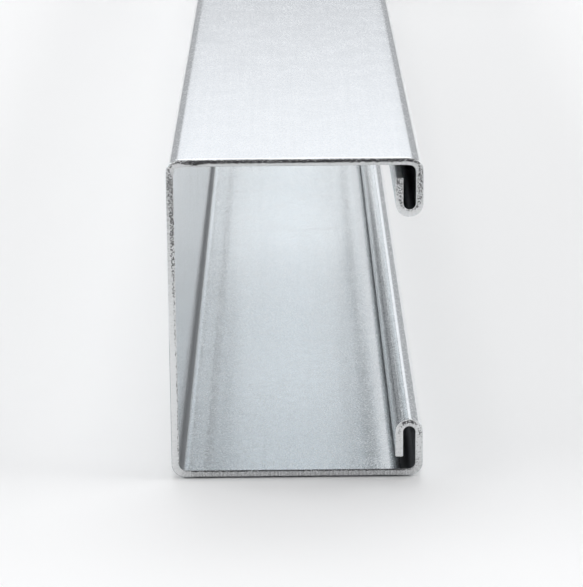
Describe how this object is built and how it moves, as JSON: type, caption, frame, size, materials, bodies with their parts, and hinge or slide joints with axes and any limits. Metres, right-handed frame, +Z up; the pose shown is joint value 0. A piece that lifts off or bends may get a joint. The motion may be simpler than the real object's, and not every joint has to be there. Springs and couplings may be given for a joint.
{
  "type": "c-purlin",
  "caption": "Cold-formed galvanised steel C-section purlin: a straight, unpunched length whose mouth lips are folded back into the channel, for carrying roof and wall sheets between frames.",
  "frame": {"origin": "on the underside of the lower flange, in the middle of the length and of the width", "axes": "+Y along the length, +Z up from the lower flange to the upper flange, +X from the web to the open mouth"},
  "size_m": [0.077, 3, 0.1],
  "materials": {
    "galvanised_steel": "hot-dip zinc coating, satin, with a fine grain and faint roll marks along the length; sheared ends partly bare steel"
  },
  "bodies": {
    "root": {"c_purlin": "galvanised_steel"}
  },
  "joints": []
}
